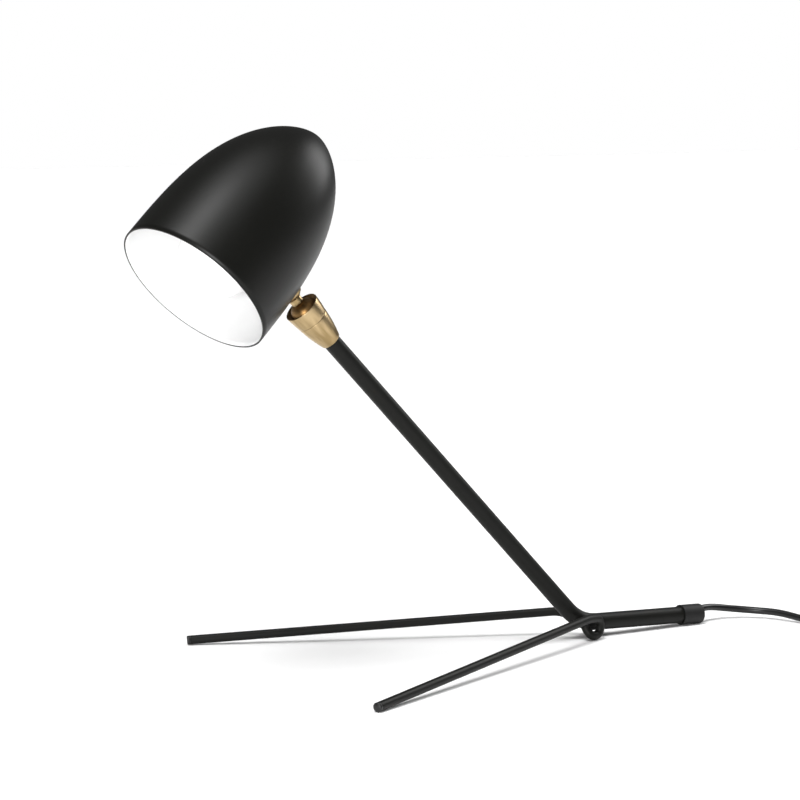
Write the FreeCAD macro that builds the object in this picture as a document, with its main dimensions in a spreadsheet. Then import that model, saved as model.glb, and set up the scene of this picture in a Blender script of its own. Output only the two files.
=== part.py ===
import FreeCAD, Part
import Sketcher
import math
import os

os.makedirs("parts", exist_ok=True)
doc = FreeCAD.newDocument("table_lamp")
Vector = FreeCAD.Vector

# Sizes in millimetres and degrees. The lamp stands on z = 0, its shade looks to -X, its cord leaves to +X.
# Heights called "up" or "down" are measured along the stem from the centre of the ball joint.
SIZES = [
    ("bend_back", 99.47), ("bend_height", 9.0), ("bend_radius", 30.0), ("stem_angle", 46.08),
    ("tube_radius", 5.0), ("tube_wall", 1.0), ("stem_reach", 266.6), ("rear_reach", 89.3),
    ("rear_axis_height", 5.6),
    ("rod_radius", 2.6), ("foot_reach", 204.2), ("foot_spread", 105.0), ("leg_start_side", 13.2),
    ("knee_back", 3.04), ("knee_height", 14.08), ("eye_ahead", 5.96), ("eye_half_width", 3.86),
    ("eye_height", 9.32), ("eye_lift", 0.05), ("eye_top_shift", 0.15), ("eye_low_shift", 0.46),
    ("eye_front_shift", 1.96), ("rod_end_front", 1.11), ("rod_end_low", 7.6), ("rod_end_height", 12.6),
    ("seam_start", 6.0), ("seam_length", 14.0),
    ("tip_length", 2.0), ("tip_bevel", 0.4), ("tip_peg_radius", 1.3), ("tip_peg_length", 4.0),
    ("close_fit", 0.05), ("seam", 0.1),
    ("cap_radius", 6.0), ("cap_length", 15.1), ("cap_end_wall", 9.6), ("cap_round", 1.2),
    ("bush_length", 12.0), ("cord_offset", 1.0), ("exit_gap", 0.3),
    ("ball_radius", 8.0), ("ball_gap", 0.1),
    ("cup_down", 22.9), ("cup_base_radius", 5.9), ("cup_side_round", 90.0), ("split_down", 5.6),
    ("split_radius", 9.2), ("mouth_up", 4.0), ("mouth_radius", 10.25), ("mouth_lip", 0.35),
    ("mouth_bevel", 0.15),
    ("spigot_radius", 8.55), ("spigot_rise", 2.6), ("seat_bore_radius", 7.65), ("shelf_down", 10.8),
    ("nut_bore_radius", 6.2), ("web_top_down", 14.2), ("web_bottom_down", 16.4), ("lip_up", 2.6),
    ("nipple_radius", 3.9), ("nipple_wall", 1.0), ("nipple_length", 16.0), ("nut_flat", 9.6),
    ("nut_height", 2.6), ("seat_top_down", 3.7), ("seat_base_down", 9.2), ("seat_hole_radius", 3.2),
    ("spring_leaf", 0.5), ("spring_hole_radius", 4.3),
    ("stud_radius", 3.0), ("stud_bore_radius", 2.2), ("stud_down", 1.9), ("neck_radius", 3.6),
    ("neck_up", 7.5), ("boss_up", 11.4), ("boss_foot_radius", 4.6), ("boss_radius", 6.4),
    ("thread_end", 1.1),
    ("rest_turn", 7.2), ("rest_tilt", 1.1), ("wall_up", 16.9725), ("shade_along", 42.0),
    ("crown_room", 24.3),
    ("shade_radius", 45.5), ("shade_depth", 116.3), ("shade_wall", 1.0), ("shade_side_power", 3.026),
    ("shade_crown_power", 1.533), ("stud_hole_gap", 0.2),
    ("spacer_radius", 6.0), ("spacer_length", 2.6275), ("plate", 1.5), ("plate_width", 12.0),
    ("washer_radius", 5.2), ("washer_height", 0.8), ("stud_nut_flat", 10.0), ("stud_nut_height", 3.4),
    ("bracket_up", 53.5), ("bracket_foot", 36.0), ("ring_radius", 18.0),
    ("holder_radius", 14.0), ("holder_flange_radius", 16.0), ("holder_flange", 2.0),
    ("holder_body_radius", 12.6), ("holder_thread", 8.5), ("holder_roof", 10.0), ("holder_bore_radius", 8.7),
    ("contact_room", 3.4), ("holder_ring_height", 4.0), ("holder_ring_radius", 17.0),
    ("shell_wall", 0.5), ("thread_gap", 0.15), ("cap_shell_radius", 7.0), ("cap_shell_start", 50.5),
    ("cap_shell_end", 74.5), ("contact_radius", 2.6), ("contact_height", 3.2), ("spring_tab", 0.8),
    ("globe_radius", 22.5), ("globe_centre", 24.0), ("globe_wall", 1.0), ("globe_shoulder", 37.0),
    ("inner_lead_radius", 2.1), ("holder_lead_radius", 1.8),
    ("cord_radius", 2.1), ("coil_inner_radius", 18.0), ("coil_side_step", 5.6), ("coil_layer_step", 4.7),
    ("coil_layers", 4), ("coil_turns", 2), ("coil_first_turns", 2.5), ("coil_lift", 0.7),
    ("tie_width", 6.0), ("tie_thickness", 0.5), ("tie_gap", 0.1),
    ("plug_taper", 20.0), ("plug_neck_radius", 3.2), ("plug_taper_radius", 5.0), ("plug_length", 30.0),
    ("plug_width", 35.3), ("plug_back_width", 14.0), ("plug_front_width", 26.0), ("plug_thickness", 13.7),
    ("plug_edge", 2.0), ("pin_radius", 2.0), ("pin_length", 19.0), ("pin_spacing", 18.6), ("pin_hold", 8.0),
]

# Sizes that follow from others.
FOLLOWING = [
    ("foot_plate_up", "=wall_up + shade_wall + spacer_length"),
    ("stud_end_up", "=foot_plate_up + plate + washer_height + stud_nut_height + thread_end"),
    ("holder_bore_end", "=cap_shell_end + contact_height + seam + spring_tab + contact_room"),
    ("holder_top", "=holder_bore_end + holder_roof"),
]

sheet = doc.addObject("Spreadsheet::Sheet", "Sizes")
for row, (alias, number) in enumerate(SIZES + FOLLOWING, start=1):
    sheet.set("A%d" % row, alias)
    sheet.set("B%d" % row, str(number))
    sheet.setAlias("B%d" % row, alias)
doc.recompute()


class Size:
    """A length with its number and the sheet expression that gives it."""

    def __init__(self, number, text):
        self.number = float(number)
        self.text = text

    @staticmethod
    def of(other):
        return other if isinstance(other, Size) else Size(other, "%.6f" % other)

    def join(self, other, number, sign):
        return Size(number, "(%s %s %s)" % (self.text, sign, other.text))

    def __add__(self, other):
        other = Size.of(other)
        return self.join(other, self.number + other.number, "+")

    def __sub__(self, other):
        other = Size.of(other)
        return self.join(other, self.number - other.number, "-")

    def __mul__(self, other):
        other = Size.of(other)
        return self.join(other, self.number * other.number, "*")

    def __truediv__(self, other):
        other = Size.of(other)
        return self.join(other, self.number / other.number, "/")

    __radd__ = __add__
    __rmul__ = __mul__

    def __rsub__(self, other):
        return Size.of(other) - self

    def __neg__(self):
        return Size.of(0.0) - self

    def __float__(self):
        return self.number


class Sheet:
    """Every alias of the sheet as a Size: sizes.ball_radius, sizes.tube_wall and so on."""

    def __getattr__(self, alias):
        return Size(sheet.get(alias), "Sizes.%s" % alias)


sizes = Sheet()


def mm(alias):
    return float(sheet.get(alias))


def root(value):
    value = Size.of(value)
    return Size(math.sqrt(value.number), "sqrt(%s)" % value.text)


def on_ball(radius, at_radius):
    """Height above a ball's centre of the point of its surface that lies at_radius from the axis."""
    return root(radius * radius - at_radius * at_radius)


def plane(body, role):
    for feature in body.Origin.OriginFeatures:
        if feature.Role == role:
            return feature
    raise ValueError(role)


def new_body(label):
    body = doc.addObject("PartDesign::Body", label)
    body.Label = label
    return body


def sketch_on(body, role, name, height=0.0):
    sketch = body.newObject("Sketcher::SketchObject", name)
    sketch.AttachmentSupport = [(plane(body, role), "")]
    sketch.MapMode = "FlatFace"
    if isinstance(height, Size):
        sketch.setExpression(".AttachmentOffset.Base.z", height.text)
    return sketch


def arc_between(start, end, radius):
    """An arc from start to end. A positive radius bulges to the left of the way, a negative to the right."""
    chord = end - start
    half = chord.Length / 2
    side = Vector(-chord.y, chord.x, 0).normalize()
    size = abs(radius)
    sagitta = size - math.sqrt(max(size * size - half * half, 0.0))
    middle = (start + end) / 2 + side * (sagitta if radius > 0 else -sagitta)
    return Part.Arc(start, middle, end).toShape().Curve, middle


def draw_outline(sketch, points, arcs=None):
    """Draws a closed outline. Each corner is held by its two coordinates, each arc also by its radius."""
    arcs = arcs or {}
    places = [Vector(float(x), float(y), 0) for x, y in points]
    ends = []
    for i, start in enumerate(places):
        end = places[(i + 1) % len(places)]
        if i not in arcs:
            edge = sketch.addGeometry(Part.LineSegment(start, end), False)
            ends.append((edge, 1, 2))
            continue
        middle = arc_between(start, end, float(arcs[i]))[1]
        edge = sketch.addGeometry(Part.Arc(start, middle, end), False)
        flipped = sketch.getPoint(edge, 1).distanceToPoint(start) > 1e-6
        ends.append((edge, 2, 1) if flipped else (edge, 1, 2))
    for i in range(len(ends)):
        edge, _, last = ends[i]
        following, first, _ = ends[(i + 1) % len(ends)]
        sketch.addConstraint(Sketcher.Constraint("Coincident", edge, last, following, first))
    for i, (x, y) in enumerate(points):
        edge, first, _ = ends[i]
        hold(sketch, "DistanceX", edge, first, x)
        hold(sketch, "DistanceY", edge, first, y)
        if i in arcs:
            size = Size.of(arcs[i])
            if size.number < 0:
                size = -size
            index = sketch.addConstraint(Sketcher.Constraint("Radius", edge, size.number))
            sketch.setExpression("Constraints[%d]" % index, size.text)


def hold(sketch, kind, edge, end, place):
    """Ties one coordinate of a corner to the sheet, or to the axis where it is nought."""
    place = Size.of(place)
    if place.text == "0.000000":
        axis = -2 if kind == "DistanceX" else -1
        sketch.addConstraint(Sketcher.Constraint("PointOnObject", edge, end, axis))
        return
    index = sketch.addConstraint(Sketcher.Constraint(kind, -1, 1, edge, end, place.number))
    sketch.setExpression("Constraints[%d]" % index, place.text)


def turned(label, points, placement, arcs=None):
    """A piece turned about its own Z axis from an outline of (radius, height) corners."""
    body = new_body(label)
    sketch = sketch_on(body, "XZ_Plane", label + "_outline")
    draw_outline(sketch, points, arcs)
    turn = body.newObject("PartDesign::Revolution", label + "_turn")
    turn.Profile = sketch
    turn.ReferenceAxis = (sketch, ["V_Axis"])
    turn.Angle = 360.0
    body.Tip = turn
    body.Placement = placement
    return body


def hexagon_nut(label, flat, bottom, height, hole, placement):
    """A hexagonal nut on the local Z axis with a round hole."""
    body = new_body(label)
    sketch = sketch_on(body, "XY_Plane", label + "_outline", bottom)
    corner = flat * (1 / math.sqrt(3.0))
    points = []
    for i in range(6):
        angle = math.radians(60 * i)
        points.append((corner * math.cos(angle), corner * math.sin(angle)))
    points = [(x, Size.of(0.0) if abs(y.number) < 1e-9 else y) for x, y in points]
    draw_outline(sketch, points)
    ring = sketch.addGeometry(Part.Circle(Vector(0, 0, 0), Vector(0, 0, 1), float(hole)), False)
    sketch.addConstraint(Sketcher.Constraint("Coincident", ring, 3, -1, 1))
    index = sketch.addConstraint(Sketcher.Constraint("Radius", ring, float(hole)))
    sketch.setExpression("Constraints[%d]" % index, hole.text)
    pad = body.newObject("PartDesign::Pad", label + "_pad")
    pad.Profile = sketch
    pad.setExpression("Length", height.text)
    body.Tip = pad
    body.Placement = placement
    return body


def made(label, shape, placement=None):
    """A piece whose shape is built directly, for forms that follow a route or a curve."""
    piece = doc.addObject("Part::Feature", label)
    piece.Label = label
    piece.Shape = shape
    piece.Placement = placement or FreeCAD.Placement()
    return piece


def rounded_route(points, share=0.45, radii=None):
    """Straight runs joined by tangent arcs, each as large as its two runs allow. Returns edges and radii."""
    points = [Vector(*p) for p in points]
    edges = []
    used = []
    last = points[0]
    for i in range(1, len(points) - 1):
        before = points[i] - points[i - 1]
        after = points[i + 1] - points[i]
        turn = before.getAngle(after)
        radius = share * min(before.Length, after.Length) / math.tan(turn / 2)
        if radii and radii.get(i):
            radius = radii[i]
        cut = radius * math.tan(turn / 2)
        start = points[i] - before.normalize() * cut
        end = points[i] + after.normalize() * cut
        inward = (start - points[i]).normalize() + (end - points[i]).normalize()
        centre = points[i] + inward.normalize() * (radius / math.cos(turn / 2))
        middle = centre - inward * radius
        edges.append(Part.LineSegment(last, start).toShape())
        edges.append(Part.Arc(start, middle, end).toShape())
        used.append(radius)
        last = end
    edges.append(Part.LineSegment(last, points[-1]).toShape())
    return edges, used


def swept(edges, radius):
    """A round bar of the given radius along a wire of edges."""
    wire = Part.Wire(edges)
    start = edges[0].valueAt(edges[0].FirstParameter)
    along = edges[0].tangentAt(edges[0].FirstParameter)
    ring = Part.Wire([Part.makeCircle(radius, start, along)])
    return wire.makePipeShell([ring], True, False)


def mouth_height():
    """Height of the shade's mouth in the shade's frame: its crown keeps clear of the lampholder's top."""
    return mm("holder_top") + mm("crown_room") - mm("shade_depth")


def wall_radius(height):
    """Outer radius of the shade at a height of its own frame."""
    share = (height - mouth_height()) / mm("shade_depth")
    return mm("shade_radius") * (1 - share ** mm("shade_side_power")) ** (1 / mm("shade_crown_power"))


# Frames: the stem's Z axis runs up the stem from the ball's centre, the head's Z axis is the shade's stud.
bend = Vector(mm("bend_back"), 0, mm("bend_height"))
stem_angle = math.radians(mm("stem_angle"))
stem_up = Vector(-math.cos(stem_angle), 0, math.sin(stem_angle))
ball_centre = bend + stem_up * mm("stem_reach")
stem_frame = FreeCAD.Placement(ball_centre, FreeCAD.Rotation(Vector(0, 1, 0), mm("stem_angle") - 90))
turn_frame = FreeCAD.Placement(Vector(), FreeCAD.Rotation(Vector(0, 0, 1), mm("rest_turn")))
tilt_frame = FreeCAD.Placement(Vector(), FreeCAD.Rotation(Vector(0, 1, 0), mm("rest_tilt")))
head_frame = stem_frame.multiply(turn_frame).multiply(tilt_frame)
shade_off = mm("wall_up") + wall_radius(mm("shade_along"))
shade_seat = FreeCAD.Placement(
    Vector(-mm("shade_along"), 0, shade_off), FreeCAD.Rotation(Vector(0, 1, 0), 90))
shade_frame = head_frame.multiply(shade_seat)
rear_end = Vector(mm("bend_back") + mm("rear_reach"), 0, mm("rear_axis_height"))
rear_way = (rear_end - bend).normalize()
rear_slope = math.degrees(math.atan2(-rear_way.z, rear_way.x))
rear_frame = FreeCAD.Placement(rear_end, FreeCAD.Rotation(Vector(0, 1, 0), 90 + rear_slope))


# The cord's route, in order from inside the rear cap to the start of the coil, then from the coil to the plug.
cord_route = [
    Vector(179.7, 0.0, 6.9), Vector(188.4, 0.0, 8.5), Vector(199.9, 3.5, 8.0), Vector(213.5, 2.9, 5.6),
    Vector(227.3, -5.4, 4.3), Vector(235.2, -18.8, 4.4), Vector(240.5, -37.3, 2.3), Vector(242.4, -47.9, 2.4),
    Vector(240.3, -58.0, 2.6), Vector(240.3, -67.0, 2.8)]
tail_route = [
    Vector(243.1, -75.85, 16.9), Vector(242.9, -87.0, 15.8), Vector(244.7, -99.0, 12.5),
    Vector(250.2, -110.5, 9.5), Vector(258.7, -119.5, 7.2), Vector(269.7, -124.5, 6.85)]


def biarc(start, start_way, end, end_way):
    """Two tangent arcs from start to end that follow the given directions there."""
    chord = end - start
    ways = start_way + end_way
    a = 2 * (1 - start_way.dot(end_way))
    b = 2 * chord.dot(ways)
    reach = (-b + math.sqrt(b * b + 4 * a * chord.dot(chord))) / (2 * a)
    first = start + start_way * reach
    second = end - end_way * reach
    joint = (first + second) / 2
    return [arc_by_corner(start, first, joint), arc_by_corner(joint, second, end)]


def arc_by_corner(start, corner, end):
    """The arc whose tangents at start and end meet in the corner."""
    middle = (start + end) / 2
    rise = corner - middle
    half = (end - start).Length / 2
    sagitta = half * math.tan(math.atan2(rise.Length, half) / 2)
    return Part.Arc(start, middle + rise.normalize() * sagitta, end).toShape()


def coil_places():
    """Points and directions at each quarter turn: layers spiral in and out, and climb where they reverse."""
    inner = mm("coil_inner_radius")
    step = mm("coil_side_step")
    layers = int(mm("coil_layers"))
    low = mm("cord_radius") + mm("coil_lift")
    stations = []
    radius = inner + step * mm("coil_first_turns")
    height = low
    stations.append((radius, height))
    for layer in range(layers):
        turns = mm("coil_turns") if layer else mm("coil_first_turns")
        way = -1 if layer % 2 == 0 else 1
        for _ in range(int(4 * turns)):
            radius += way * step / 4
            stations.append((radius, height))
        if layer < layers - 1:
            for _ in range(2):
                height += mm("coil_layer_step") / 2
                stations.append((radius, height))
    start = cord_route[-1]
    lead = 2 * mm("cord_radius")
    centre = Vector(start.x + stations[0][0], start.y - mm("seam") - lead, 0)
    places = []
    for i, (radius, height) in enumerate(stations):
        angle = math.pi + math.pi / 2 * i
        before = stations[max(i - 1, 0)]
        after = stations[min(i + 1, len(stations) - 1)]
        steady = i in (0, len(stations) - 1)
        outward = 0 if steady else (after[0] - before[0]) / math.pi
        upward = 0 if steady else (after[1] - before[1]) / math.pi
        ray = Vector(math.cos(angle), math.sin(angle), 0)
        side = Vector(-math.sin(angle), math.cos(angle), 0)
        way = (side * radius + ray * outward + Vector(0, 0, upward)).normalize()
        places.append((centre + ray * radius + Vector(0, 0, height), way))
    return places, centre


def build_coil():
    """The put-away length of the cord: one unbroken tube wound in four layers, straight at both ends."""
    places, _ = coil_places()
    lead = 2 * mm("cord_radius")
    first, first_way = places[0]
    last, last_way = places[-1]
    edges = [Part.LineSegment(first - first_way * lead, first).toShape()]
    for (start, start_way), (end, end_way) in zip(places, places[1:]):
        edges += biarc(start, start_way, end, end_way)
    edges.append(Part.LineSegment(last, last + last_way * lead).toShape())
    length = sum(edge.Length for edge in edges)
    coil = swept(edges, mm("cord_radius"))
    section = math.pi * mm("cord_radius") ** 2
    print("coil length %.1f, volume over section and length %.4f" % (length, coil.Volume / section / length))
    print("coil least gap to itself %.2f" % least_gap(edges))
    return made("cord_coil", coil)


def least_gap(edges):
    """The least gap between turns of a tube along these edges, measured between points of its centre line."""
    points = []
    along = 0.0
    for edge in edges:
        count = max(2, int(edge.Length / 1.5))
        for i in range(count):
            share = edge.FirstParameter + (edge.LastParameter - edge.FirstParameter) * i / count
            points.append((along + edge.Length * i / count, edge.valueAt(share)))
        along += edge.Length
    far = 6 * mm("cord_radius")
    near = min(
        a.distanceToPoint(b) for i, (s, a) in enumerate(points) for t, b in points[i + 1:] if t - s > far)
    return near - 2 * mm("cord_radius")


def build_tie():
    """A strap round all the turns at one place of the coil."""
    _, centre = coil_places()
    gap = mm("tie_gap")
    cord = mm("cord_radius")
    half = mm("tie_width") / 2
    widest = max(mm("coil_first_turns"), mm("coil_turns")) * mm("coil_side_step")
    inner = math.sqrt((mm("coil_inner_radius") - cord) ** 2 - half ** 2) - gap
    outer = mm("coil_inner_radius") + widest + cord + gap
    low = mm("coil_lift") - gap
    high = mm("coil_lift") + 2 * cord + (mm("coil_layers") - 1) * mm("coil_layer_step") + gap
    skin = mm("tie_thickness")
    outside = Part.makeBox(
        outer - inner + 2 * skin, 2 * half, high - low + 2 * skin,
        Vector(inner - skin, -half, low - skin) + centre)
    inside = Part.makeBox(
        outer - inner, 4 * half, high - low, Vector(inner, -2 * half, low) + centre)
    corners = [edge for edge in outside.Edges if edge.BoundBox.YLength > half]
    outside = outside.makeFillet(cord, corners)
    corners = [edge for edge in inside.Edges if edge.BoundBox.YLength > half]
    inside = inside.makeFillet(cord - skin, corners)
    return made("cord_tie", outside.cut(inside))


def build_plug():
    """A flat two-pin plug lying beside the coil, with a taper where the cord enters."""
    end, before = tail_route[-1], tail_route[-2]
    heading = Vector(end.x - before.x, end.y - before.y, 0)
    turn = FreeCAD.Rotation(Vector(1, 0, 0), heading)
    frame = FreeCAD.Placement(end + heading.normalize() * mm("seam"), turn)
    back, length = mm("plug_taper"), mm("plug_length")
    half = mm("plug_thickness") / 2
    outline = [
        (back, mm("plug_back_width") / 2), (back + length / 3, mm("plug_width") / 2),
        (back + 2 * length / 3, mm("plug_width") / 2), (back + length, mm("plug_front_width") / 2)]
    corners = [Vector(x, y, -half) for x, y in outline] + [Vector(x, -y, -half) for x, y in reversed(outline)]
    block = Part.Face(Part.makePolygon(corners + corners[:1])).extrude(Vector(0, 0, 2 * half))
    block = block.makeFillet(mm("plug_edge"), block.Edges)
    taper = Part.makeCone(
        mm("plug_neck_radius"), mm("plug_taper_radius"), back + mm("plug_edge") * 2, Vector(), Vector(1, 0, 0))
    body = block.fuse(taper)
    pins = []
    for label, side in (("plug_left_pin", 1), ("plug_right_pin", -1)):
        root_place = Vector(back + length - mm("pin_hold"), side * mm("pin_spacing") / 2, 0)
        reach = mm("pin_hold") + mm("pin_length")
        pin = Part.makeCylinder(mm("pin_radius"), reach, root_place, Vector(1, 0, 0))
        flat = [edge for edge in pin.Edges if edge.BoundBox.XLength < 1e-6]
        rim = [edge for edge in flat if edge.BoundBox.XMax > back + length]
        pins.append(made(label, pin.makeFillet(mm("pin_radius") / 2, rim), frame))
        hole = Part.makeCylinder(
            mm("pin_radius") + mm("close_fit"), reach, root_place - Vector(mm("seam"), 0, 0), Vector(1, 0, 0))
        body = body.cut(hole)
    return [made("plug_body", body, frame)] + pins


def build_cord():
    """The free stretch from the rear cap to the coil, the coil, and the tail that ends in the plug."""
    pieces = []
    for label, route in (("cord", cord_route), ("cord_tail", tail_route)):
        edges, radii = rounded_route(route)
        length = sum(edge.Length for edge in edges)
        print(label, "length %.1f" % length, "radii", [round(r, 1) for r in radii])
        tube = swept(edges, mm("cord_radius"))
        section = math.pi * mm("cord_radius") ** 2
        print(label, "volume over section and length %.4f" % (
            tube.Volume / section / sum(edge.Length for edge in edges)))
        pieces.append(made(label, tube))
    return pieces + [build_coil(), build_tie()] + build_plug()


def build_stem_tube():
    """One tube: the rear leg, the bend and the stem, open at both ends for the lead."""
    top = ball_centre - stem_up * (mm("web_bottom_down") + mm("seam"))
    rear = rear_end - rear_way * (mm("cap_end_wall") + mm("seam"))
    edges, _ = rounded_route([rear, bend, top], radii={1: mm("bend_radius")})
    outside = swept(edges, mm("tube_radius"))
    inside = swept(edges, mm("tube_radius") - mm("tube_wall"))
    return made("stem_tube", outside.cut(inside))


def leg_points():
    """The near leg rod's route: from its foot over a knee into an open eye, and to its end beside the tube."""
    foot = Vector(-mm("foot_reach"), -mm("foot_spread"), mm("rod_radius"))
    start = Vector(0, -mm("leg_start_side"), mm("rod_radius"))
    along = (start - foot).normalize()
    inward = Vector(-along.y, along.x, 0)
    low = mm("eye_lift")
    top = low + mm("eye_height")
    beside = mm("tube_radius") + mm("rod_radius") + mm("close_fit")
    back = mm("eye_ahead") + mm("eye_half_width")
    front = mm("eye_ahead") - mm("eye_half_width")
    route = [
        foot,
        start - along * mm("knee_back") + Vector(0, 0, mm("knee_height") - mm("rod_radius")),
        start + along * back + inward * mm("eye_top_shift") + Vector(0, 0, top),
        start + along * back + inward * mm("eye_low_shift") + Vector(0, 0, low),
        start + along * front + inward * mm("eye_front_shift") + Vector(0, 0, low),
        Vector(-mm("rod_end_front"), -beside, mm("rod_end_low")),
        Vector(-mm("rod_end_front"), -beside, mm("rod_end_height"))]
    return [point + Vector(mm("bend_back"), 0, 0) for point in route]


def seam_points():
    """The end of the far leg rod, which is brazed along the far side of the rear leg."""
    beside = Vector(0, mm("tube_radius") + mm("rod_radius") + mm("close_fit"), 0)
    start = bend + rear_way * mm("seam_start") + beside
    return [start, start + rear_way * mm("seam_length")]


def build_leg_rods():
    """Two bent rods, each a front leg brazed to the side of the tube. The near one has an open eye there."""
    near = leg_points()
    way = (near[1] - near[0]).normalize()
    near[0] = near[0] + way * (mm("tip_length") + mm("seam"))
    far = [Vector(point.x, -point.y, point.z) for point in near[:2]] + seam_points()
    far_way = Vector(way.x, -way.y, way.z)
    pieces = []
    for label, route, into in (("near_leg_rod", near, way), ("far_leg_rod", far, far_way)):
        edges, radii = rounded_route(route)
        print(label, "bend radii", [round(r, 1) for r in radii])
        hole = Part.makeCylinder(
            mm("tip_peg_radius") + mm("close_fit"), mm("tip_peg_length") + mm("seam"), route[0], into)
        pieces.append(made(label, swept(edges, mm("rod_radius")).cut(hole)))
    return pieces


def build_foot_tips():
    """A pressed-in plastic tip closes the end of each front leg."""
    foot, knee = leg_points()[:2]
    pieces = []
    for label, side in (("near_foot_tip", 1), ("far_foot_tip", -1)):
        place = Vector(foot.x, foot.y * side, foot.z)
        way = Vector(knee.x - foot.x, (knee.y - foot.y) * side, knee.z - foot.z)
        frame = FreeCAD.Placement(place, FreeCAD.Rotation(Vector(0, 0, 1), way))
        edge = sizes.rod_radius - sizes.tip_bevel
        peg_end = sizes.tip_length + sizes.tip_peg_length
        points = [
            (0, 0), (edge, 0), (sizes.rod_radius, sizes.tip_bevel), (sizes.rod_radius, sizes.tip_length),
            (sizes.tip_peg_radius, sizes.tip_length), (sizes.tip_peg_radius, peg_end), (0, peg_end)]
        pieces.append(turned(label, points, frame))
    return pieces


def build_rear_cap():
    """A rubber sleeve on the tube's rear end. The floor plane cuts its underside flat."""
    sleeve = Part.makeCylinder(mm("cap_radius"), mm("cap_length"), Vector(), Vector(0, 0, -1))
    rim = [edge for edge in sleeve.Edges if abs(edge.BoundBox.Center.z) < 1e-6 and len(edge.Vertexes) == 1]
    sleeve = sleeve.makeFillet(mm("cap_round"), rim)
    bore_start = Vector(0, 0, -mm("cap_end_wall"))
    bore = Part.makeCylinder(
        mm("tube_radius") + mm("close_fit"), mm("cap_length"), bore_start, Vector(0, 0, -1))
    sleeve = sleeve.cut(bore)
    sleeve.Placement = rear_frame
    edges, _ = rounded_route(cord_route)
    hollow = mm("cord_radius") + mm("exit_gap")
    way = (cord_route[1] - cord_route[0]).normalize()
    entry = Part.makeCylinder(hollow, 2 * mm("cap_round"), cord_route[0] - way * mm("cap_round"), way)
    sleeve = sleeve.cut(entry).cut(swept(edges[:3], hollow))
    span = 4 * mm("cap_length")
    below = Part.makeBox(span, span, span, Vector(rear_end.x - span / 2, -span / 2, -span))
    return made("rear_end_cap", sleeve.cut(below))


def build_cord_bush():
    """A grommet in the tube's rear end grips the cord above the tube's axis."""
    top = -mm("cap_end_wall")
    plug = Part.makeCylinder(
        mm("tube_radius") - mm("tube_wall") - mm("close_fit"), mm("bush_length"),
        Vector(0, 0, top), Vector(0, 0, -1))
    hole = Part.makeCylinder(
        mm("cord_radius") + mm("close_fit"), mm("bush_length") + 2,
        Vector(-mm("cord_offset"), 0, top + 1), Vector(0, 0, -1))
    return made("cord_bush", plug.cut(hole), rear_frame)


def build_cup():
    """The brass cup on the stem: tube socket, web, nut bore, shelf for the spring, and the collar's spigot."""
    socket = sizes.tube_radius + sizes.close_fit
    top = sizes.spigot_rise - sizes.split_down
    points = [
        (socket, -sizes.cup_down), (sizes.cup_base_radius, -sizes.cup_down),
        (sizes.split_radius, -sizes.split_down), (sizes.spigot_radius, -sizes.split_down),
        (sizes.spigot_radius, top), (sizes.seat_bore_radius, top),
        (sizes.seat_bore_radius, -sizes.shelf_down), (sizes.nut_bore_radius, -sizes.shelf_down),
        (sizes.nut_bore_radius, -sizes.web_top_down),
        (sizes.nipple_radius + sizes.close_fit, -sizes.web_top_down),
        (sizes.nipple_radius + sizes.close_fit, -sizes.web_bottom_down), (socket, -sizes.web_bottom_down)]
    return turned("joint_cup", points, stem_frame, {1: -sizes.cup_side_round})


def build_collar():
    """The brass collar screwed on the cup holds the ball down with a spherical lip."""
    seat = sizes.ball_radius + sizes.ball_gap
    bore = sizes.spigot_radius + sizes.close_fit
    low = sizes.seam - sizes.split_down
    spigot_top = sizes.spigot_rise - sizes.split_down + sizes.seam
    lip_edge = on_ball(seat, sizes.lip_up)
    points = [
        (bore, low), (sizes.split_radius, low), (sizes.mouth_radius, sizes.mouth_up - sizes.mouth_bevel),
        (sizes.mouth_radius - sizes.mouth_bevel, sizes.mouth_up),
        (sizes.mouth_radius - sizes.mouth_lip, sizes.mouth_up), (lip_edge, sizes.lip_up),
        (seat, 0), (seat, spigot_top), (bore, spigot_top)]
    arcs = {1: -sizes.cup_side_round, 5: sizes.ball_radius + sizes.ball_gap}
    return turned("joint_collar", points, stem_frame, arcs)


def build_seat():
    """The nylon seat carries the ball from below and turns with it in the cup."""
    outside = sizes.seat_bore_radius - sizes.ball_gap
    seat = sizes.ball_radius + sizes.ball_gap
    rim = root(seat * seat - sizes.seat_top_down * sizes.seat_top_down)
    foot = on_ball(seat, sizes.seat_hole_radius)
    points = [
        (sizes.seat_hole_radius, -sizes.seat_base_down), (outside, -sizes.seat_base_down),
        (outside, -sizes.seat_top_down), (rim, -sizes.seat_top_down), (sizes.seat_hole_radius, -foot)]
    return turned("ball_seat", points, stem_frame, {3: seat})


def build_spring():
    """A disc spring under the seat presses it against the ball."""
    rise = sizes.shelf_down - sizes.seat_base_down - sizes.close_fit
    outside = sizes.seat_bore_radius - sizes.seam
    top = -sizes.seat_base_down - sizes.close_fit
    points = [
        (outside, -sizes.shelf_down), (outside, sizes.spring_leaf - sizes.shelf_down),
        (sizes.spring_hole_radius, top), (sizes.spring_hole_radius, top - sizes.spring_leaf)]
    print("disc spring rises", round(rise.number, 2))
    return turned("disc_spring", points, stem_frame)


def build_nipple():
    """A hollow threaded nipple ties the cup to the tube, with a nut on the web."""
    inside = sizes.nipple_radius - sizes.nipple_wall
    top = sizes.nut_height + sizes.seam - sizes.web_top_down
    low = top - sizes.nipple_length
    points = [(inside, low), (sizes.nipple_radius, low), (sizes.nipple_radius, top), (inside, top)]
    pipe = turned("stem_nipple", points, stem_frame)
    nut = hexagon_nut("nipple_nut", sizes.nut_flat, -sizes.web_top_down, sizes.nut_height,
                      sizes.nipple_radius + sizes.close_fit, stem_frame)
    return [pipe, nut]


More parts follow.
